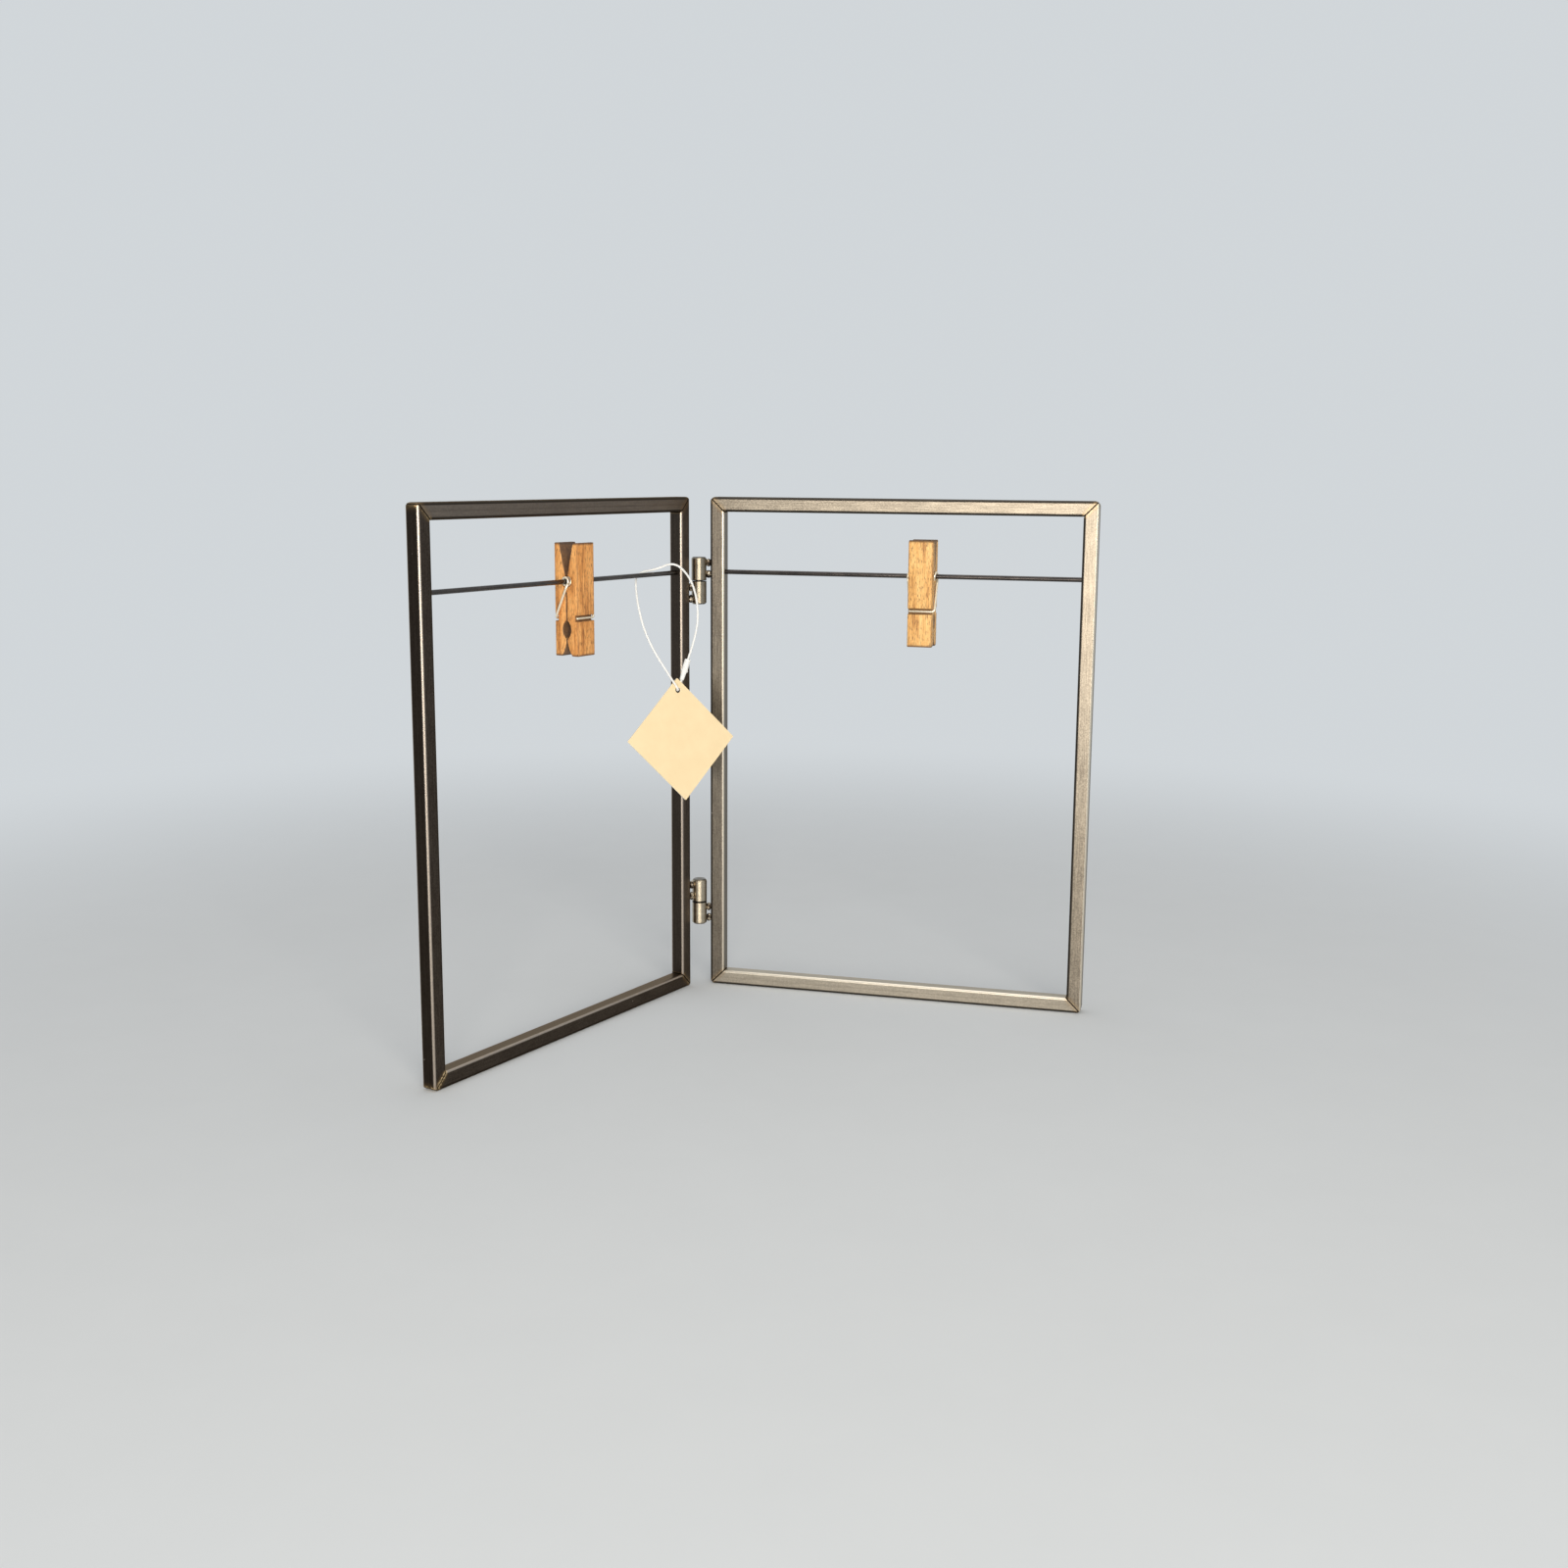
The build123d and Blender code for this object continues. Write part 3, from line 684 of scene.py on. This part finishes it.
ahead = Vector(
    (
        math.sin(camera_yaw) * math.cos(camera_pitch),
        math.cos(camera_yaw) * math.cos(camera_pitch),
        math.sin(camera_pitch),
    )
)
level_right = Vector((math.cos(camera_yaw), -math.sin(camera_yaw), 0))
level_up = level_right.cross(ahead)
rolled_right = level_right * math.cos(camera_roll) + level_up * math.sin(camera_roll)
rolled_up = level_up * math.cos(camera_roll) - level_right * math.sin(camera_roll)
camera_data = bpy.data.cameras.new("camera")
camera_data.lens = camera_lens
camera_data.sensor_width = 36.0
camera_data.sensor_fit = "HORIZONTAL"
camera_data.clip_start = 0.01
camera = bpy.data.objects.new("camera", camera_data)
bpy.context.scene.collection.objects.link(camera)
camera.matrix_world = Matrix.Translation(mm(camera_point)) @ Matrix(
    (rolled_right, rolled_up, -ahead)
).transposed().to_4x4()
bpy.context.scene.camera = camera

# Tag loop: the CAD route's points, across to the hinge, up and to the front of
# the plane that the tag hangs in
tag_on_rod_at = 34.0
tag_lean = math.radians(4.3)
tag_turn_angle = math.radians(25.2)
string_diameter = 0.9
loop_route = [
    (11.35, -38.65, -0.3),
    (16.6, -31.2, 0.4),
    (20.6, -22.4, 1.2),
    (21.6, -12.8, 2.2),
    (19.7, -4.4, 3.3),
    (14.55, 2.53, 2.83),
    (8.44, 1.22, -3.24),
    (0.05, 1.75, -5.43),
    (-2.4, -4.5, -4.6),
    (-4.5, -14.0, -3.0),
    (-4.9, -24.0, -1.5),
    (-3.4, -32.6, -0.3),
    (-1.1, -39.9, 0.6),
    (0.9, -45.9, 1.1),
    (2.7, -49.9, 0.95),
    (2.7, -49.9, -0.95),
    (4.7, -48.1, -1.05),
    (6.3, -46.2, -0.9),
]
tag_axis = (along["left"] * 0.344 + front["left"] * 0.310 - up * 0.886).normalized()
lean = Matrix.Rotation(tag_lean, 3, along["left"])
hang_turn = Matrix.Rotation(tag_turn_angle, 3, tag_axis)
tag_across = hang_turn @ -along["left"]
tag_front = hang_turn @ lean @ front["left"]
tag_up = tag_front.cross(tag_across)
tag_pivot = on_panel("left", tag_on_rod_at, rod_height, tube_middle)


def on_tag(point):
    """A point of the tag's plane in metres."""
    return mm(tag_pivot + tag_across * point[0] + tag_up * point[1] + tag_front * point[2])


string_data = bpy.data.curves.new("tag_string", "CURVE")
string_data.dimensions = "3D"
string_data.bevel_depth = string_diameter / 2 * MILLIMETRE
string_data.bevel_resolution = 4
string_data.resolution_u = 12
string_data.use_fill_caps = True
spline = string_data.splines.new("NURBS")
spline.points.add(len(loop_route) - 1)
for place, point in zip(spline.points, loop_route):
    place.co = (*on_tag(point), 1)
spline.order_u = 3
spline.use_endpoint_u = True
string = bpy.data.objects.new("tag_string", string_data)
bpy.context.scene.collection.objects.link(string)
finish_piece(string, "tag_string", "tag", nylon, "tag_loop")

# Panels: each bar keeps its CAD shape and gets a fine groove at its mitres
seam_inset = 0.22
seam_skin = 0.8
corner_reach = 2 * tube_size


def grooved_bar(side, bar):
    """A copy of a bar whose mitred ends are drawn in by a hair."""
    node_name = f"{side}_{bar}"
    tools = cleaned_mesh(node_name, 0.4)
    for away, slope_away in ((stile_to_axis, 1), (far_edge, -1)):
        for rise, slope_up in ((0, 1), (panel_height, -1)):
            corner = on_panel(side, away, rise, 0)
            normal = (along[side] * slope_away - up * slope_up).normalized()
            middle = on_panel(
                side,
                away + slope_away * tube_size / 2,
                rise + slope_up * tube_size / 2,
                tube_middle,
            )
            reach = max(
                ((v.co - mm(corner)).dot(normal) for v in tools.verts), key=abs
            )
            inward = math.copysign(seam_inset * MILLIMETRE, reach)
            near = [
                part
                for part in (*tools.verts, *tools.edges, *tools.faces)
                if is_near(part, mm(middle))
            ]
            if not near:
                continue
            bmesh.ops.bisect_plane(
                tools,
                geom=near,
                plane_co=mm(corner) + normal * inward,
                plane_no=normal,
                dist=0.000001,
            )
            for vertex in tools.verts:
                gone = (vertex.co - mm(corner)).dot(normal)
                out = vertex.co - mm(middle)
                if abs(gone) < merge_distance and out.length < corner_reach * MILLIMETRE:
                    depth = abs(out.dot(front[side]))
                    across = (out - front[side] * out.dot(front[side])).length / math.sqrt(2)
                    if max(depth, across) > (tube_size / 2 - seam_skin) * MILLIMETRE:
                        share = 1 - seam_inset * 2 / tube_size
                        vertex.co = mm(middle) + out * share
    piece = object_from(tools, node_name + "_tube")
    smooth(piece, 32)
    flatter = piece.modifiers.new("flat_faces", "WEIGHTED_NORMAL")
    flatter.keep_sharp = True
    flatter.weight = 90
    finish_piece(
        piece,
        node_name + "_tube",
        side + "_panel",
        steel[side, "stile" in bar],
        node_name,
    )


def is_near(part, point):
    """Whether a mesh part touches the corner that has its middle at a point."""
    reach = corner_reach * MILLIMETRE
    if isinstance(part, bmesh.types.BMVert):
        return (part.co - point).length < reach
    return any((vertex.co - point).length < reach for vertex in part.verts)


for side in ("right", "left"):
    for bar in ("top_rail", "bottom_rail", "hinge_stile", "outer_stile"):
        grooved_bar(side, bar)
    dress(side + "_rod", rod_metal[side])

for level in ("upper", "lower"):
    for side in ("right", "left"):
        dress(f"{level}_hinge_{side}_knuckle", polished[level])
    dress(f"{level}_hinge_pin", rod_metal["right"])


# Weld beads: small rippled puddles between a knuckle and its stile's edge
bead_size = (1.22, 1.22, 1.72)


def weld_beads(level, side, joint_height, is_upper, seed):
    """The two beads of one knuckle."""
    heading = 1 if is_upper else -1
    edge = Vector((stile_to_axis + tube_edge_round, -face_behind_axis - tube_edge_round))
    middle = (edge.length - tube_edge_round + knuckle_diameter / 2) / 2
    place = edge.normalized() * middle
    tools = bmesh.new()
    for number, height in enumerate((bead_low, bead_high)):
        rise = joint_height + heading * (knuckle_gap / 2 + height)
        centre = mm(on_panel(side, place.x, rise, place.y))
        made = bmesh.ops.create_icosphere(tools, subdivisions=5, radius=1.0)
        for vertex in made["verts"]:
            unit = vertex.co.normalized()
            ripple = 1 + 0.05 * math.sin(9 * unit.z + 2 * unit.x + seed + number)
            rough = 1 + 0.10 * noise.noise(unit * 2.2 + Vector((seed, number * 3.1, 0.4)))
            size = Vector(bead_size) * ripple * rough * MILLIMETRE
            vertex.co = centre + Vector((unit.x * size.x, unit.y * size.y, unit.z * size.z))
    piece = object_from(tools, "beads")
    smooth(piece)
    finish_piece(
        piece,
        f"{level}_{side}_weld_beads",
        side + "_panel",
        bead_metal,
        f"{level}_hinge_{side}_weld",
    )


weld_beads("upper", "right", upper_hinge_height, True, 1.3)
weld_beads("upper", "left", upper_hinge_height, False, 2.9)
weld_beads("lower", "right", lower_hinge_height, False, 4.1)
weld_beads("lower", "left", lower_hinge_height, True, 5.6)


# Clothespins: softened wood and sprung wire
wood_edge_ease = 0.28
clip_at = {"right": right_clip_at, "left": left_clip_at}
wood_tones = {
    "right": ((0.90, 0.570, 0.225), (0.78, 0.420, 0.132), (0.36, 0.150, 0.040)),
    "left": ((0.88, 0.450, 0.150), (0.66, 0.280, 0.074), (0.22, 0.078, 0.020)),
}


def softened_half(side, half, seed):
    """A wooden half with eased edges."""
    node_name = f"{side}_clip_{half}_half"
    tools = cleaned_mesh(node_name, 1.0)
    sharp = [
        edge
        for edge in tools.edges
        if len(edge.link_faces) == 2 and edge.calc_face_angle() > math.radians(40)
    ]
    bmesh.ops.bevel(
        tools,
        geom=sharp,
        offset=wood_edge_ease * MILLIMETRE,
        offset_type="OFFSET",
        segments=3,
        profile=0.5,
        affect="EDGES",
        clamp_overlap=True,
    )
    bmesh.ops.triangulate(tools, faces=[f for f in tools.faces if len(f.verts) > 4])
    piece = object_from(tools, node_name + "_wood")
    smooth(piece, 35)
    body = side + "_clip" + ("_front" if half == "front" else "")
    finish = wood_material(side, half, clip_at[side], seed, *wood_tones[side])
    finish_piece(piece, node_name + "_wood", body, finish, node_name)


for seed, (side, half) in enumerate(
    (("right", "front"), ("right", "rear"), ("left", "front"), ("left", "rear")), 1
):
    softened_half(side, half, seed * 0.37)

wire_radius = wire_diameter / 2
coil_radius = rod_diameter / 2 + spring_bore_clearance + wire_radius
arm_plane = clip_width / 2 + spring_side_clearance + wire_radius
hook_front = clip_half_depth - groove_cut + hook_clearance + wire_radius
hook_reach = math.hypot(hook_front, groove_depth_down)
hook_bearing = math.atan2(groove_depth_down, hook_front)
leave_angle = hook_bearing - math.acos(-coil_radius / hook_reach)
coil_sweep = math.pi - 2 * leave_angle + 2 * math.pi * spring_turns
side_rate = 2 * arm_plane / (coil_sweep - spring_ease)
steps_per_turn = 40
wire_sides = 14


def coil_side(angle):
    """How far along the rod the wire has come after this much winding."""
    if angle < spring_ease:
        gone = side_rate * angle**2 / (2 * spring_ease)
    elif angle > coil_sweep - spring_ease:
        left = coil_sweep - angle
        gone = 2 * arm_plane - side_rate * left**2 / (2 * spring_ease)
    else:
        gone = side_rate * (angle - spring_ease / 2)
    return arm_plane - gone


def coil_point(angle):
    """The wire's centre after this much winding."""
    bearing = leave_angle + angle
    return Vector(
        (coil_radius * math.cos(bearing), coil_radius * math.sin(bearing), coil_side(angle))
    )


def bend_points(before, corner, after, radius, steps):
    """Points of a right-angled bend of one radius round a corner."""
    arriving = (corner - before).normalized()
    leaving = (after - corner).normalized()
    centre = corner - arriving * radius + leaving * radius
    return [
        centre
        - leaving * radius * math.cos(turn)
        + arriving * radius * math.sin(turn)
        for turn in (math.pi / 2 * step / steps for step in range(steps + 1))
    ]


def arm_points(facing):
    """The straight arm from the coil's end to its hook's tip, and the hook."""
    start = coil_point(0 if facing < 0 else coil_sweep)
    corner = Vector((facing * hook_front, -groove_depth_down, -facing * arm_plane))
    tip = Vector(
        (facing * hook_front, -groove_depth_down, facing * (clip_width / 2 - hook_short_of_edge))
    )
    straight = [start.lerp(corner, share / 6) for share in range(6)]
    reach = (corner - start).length
    straight = [p for p in straight if (p - start).length < reach - 1.5 * hook_bend_radius]
    return straight + bend_points(start, corner, tip, hook_bend_radius, 10) + [tip]


def wire_mesh(points, name, round_end):
    """A tube of wire along its points, its far end rounded if it is free."""
    tools = bmesh.new()
    heading = (points[1] - points[0]).normalized()
    side_way = heading.orthogonal().normalized()
    rings = []
    stations = [(point, 1.0) for point in points]
    if round_end:
        last_heading = (points[-1] - points[-2]).normalized()
        for turn in (0.35, 0.7, 1.05, 1.35):
            stations.append(
                (points[-1] + last_heading * wire_radius * 0.5 * math.sin(turn), math.cos(turn))
            )
    for number, (point, size) in enumerate(stations):
        before = stations[max(number - 1, 0)][0]
        after = stations[min(number + 1, len(stations) - 1)][0]
        heading = (after - before).normalized()
        side_way = (side_way - heading * side_way.dot(heading)).normalized()
        other = heading.cross(side_way)
        ring = []
        for step in range(wire_sides):
            turn = 2 * math.pi * step / wire_sides
            spoke = side_way * math.cos(turn) + other * math.sin(turn)
            ring.append(tools.verts.new(point + spoke * wire_radius * size))
        rings.append(ring)
    for first, second in zip(rings, rings[1:]):
        for step in range(wire_sides):
            after = (step + 1) % wire_sides
            tools.faces.new((first[step], first[after], second[after], second[step]))
    tools.faces.new(list(reversed(rings[0])))
    tools.faces.new(rings[-1])
    piece = object_from(tools, name)
    for face in piece.data.polygons:
        face.use_smooth = len(face.vertices) == 4
    return piece


def spring(side, at):
    """A clothespin's spring as a coil and two hooked arms."""
    hub = on_panel(side, at, rod_height, tube_middle)
    away = -along[side] if side == "right" else along[side]
    place = Matrix.Translation(mm(hub)) @ Matrix(
        (front[side], up, away)
    ).transposed().to_4x4() @ Matrix.Scale(MILLIMETRE, 4)
    count = math.ceil(coil_sweep / (2 * math.pi) * steps_per_turn)
    winding = [coil_point(coil_sweep * step / count) for step in range(count + 1)]
    for name, points, round_end in (
        ("coil", winding, False),
        ("rear_arm", arm_points(-1), True),
        ("front_arm", arm_points(1), True),
    ):
        piece = wire_mesh(points, f"{side}_spring_{name}", round_end)
        piece.data.transform(place)
        piece.data.materials.append(wire_metal)
        if name == "coil":
            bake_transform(piece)
            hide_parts(side + "_clip_spring")
        else:
            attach(piece, side + "_clip" + ("_front" if name == "front_arm" else ""))


for side in ("right", "left"):
    spring(side, clip_at[side])

dress("tag_card", card_material())
dress("tag_lock", nylon)

# Studio: a pale floor, a pale surround and soft lamps
def seen_rays(tree):
    """One for camera, glossy and transmission rays, nought for the rest."""
    rays = node(tree, "ShaderNodeLightPath").outputs
    seen = calc(tree, "MAXIMUM", rays["Is Camera Ray"], rays["Is Glossy Ray"])
    return calc(tree, "MAXIMUM", seen, rays["Is Transmission Ray"])


surround_colour = (0.640, 0.675, 0.700, 1)
surround_strength = 1.0
floor_reach = 9.0
melt_from, melt_to = 0.25, 0.80
floor_tools = bmesh.new()
bmesh.ops.create_circle(floor_tools, cap_ends=True, radius=floor_reach, segments=96)
floor = object_from(floor_tools, "floor")
floor_look, floor_tree, floor_shader = material("studio_floor")
floor_place = node(floor_tree, "ShaderNodeTexCoord").outputs["Object"]
floor_clouds = grain(floor_tree, floor_place, 30, 3, 0.6)
put(
    floor_tree,
    floor_shader.inputs["Base Color"],
    blend_colour(
        floor_tree, floor_clouds, (0.700, 0.730, 0.750, 1), (0.725, 0.755, 0.775, 1)
    ),
)
floor_shader.inputs["Roughness"].default_value = 0.9
floor_shader.inputs["Specular IOR Level"].default_value = 0.05
# Far away the floor melts into the surround
floor_seen = seen_rays(floor_tree)
floor_away = node(floor_tree, "ShaderNodeVectorMath", {0: floor_place}, operation="LENGTH")
floor_gone = span(floor_tree, floor_away.outputs["Value"], melt_from, melt_to)
surround_light = node(
    floor_tree,
    "ShaderNodeEmission",
    {"Color": surround_colour, "Strength": surround_strength},
)
melted = node(
    floor_tree,
    "ShaderNodeMixShader",
    {
        0: product(floor_tree, floor_seen, floor_gone),
        1: floor_shader.outputs["BSDF"],
        2: surround_light.outputs["Emission"],
    },
)
put(
    floor_tree,
    floor_tree.nodes["Material Output"].inputs["Surface"],
    melted.outputs["Shader"],
)
floor.data.materials.append(floor_look)

world = bpy.data.worlds.new("studio")
bpy.context.scene.world = world
world.use_nodes = True
sky = world.node_tree
background = sky.nodes["Background"]
seen = seen_rays(sky)
put(
    sky,
    background.inputs["Color"],
    blend_colour(sky, seen, (0.95, 0.97, 1.0, 1), surround_colour),
)
fill_strength = 0.28
put(
    sky,
    background.inputs["Strength"],
    calc(sky, "MULTIPLY_ADD", seen, surround_strength - fill_strength, fill_strength),
)


def lamp(name, place, aim, size, power, colour):
    """A soft rectangular lamp aimed at a point, in metres."""
    data = bpy.data.lights.new(name, "AREA")
    data.shape = "RECTANGLE"
    data.size, data.size_y = size
    data.energy = power
    data.color = colour
    made = bpy.data.objects.new(name, data)
    bpy.context.scene.collection.objects.link(made)
    made.location = place
    made.rotation_euler = (Vector(aim) - Vector(place)).to_track_quat("-Z", "Y").to_euler()


lamp("key", (0.61, -1.34, 0.50), (0.02, 0.03, 0.12), (0.85, 0.62), 17.0, (1.0, 0.94, 0.85))
lamp("low", (0.04, -1.25, 0.145), (0.04, 0.07, 0.13), (0.62, 0.27), 4.0, (1.0, 0.95, 0.87))
lamp("top", (-0.1, 0.2, 1.6), (0.0, 0.0, 0.1), (1.6, 1.6), 10, (1.0, 0.98, 0.95))

bpy.context.scene.view_settings.view_transform = "Standard"
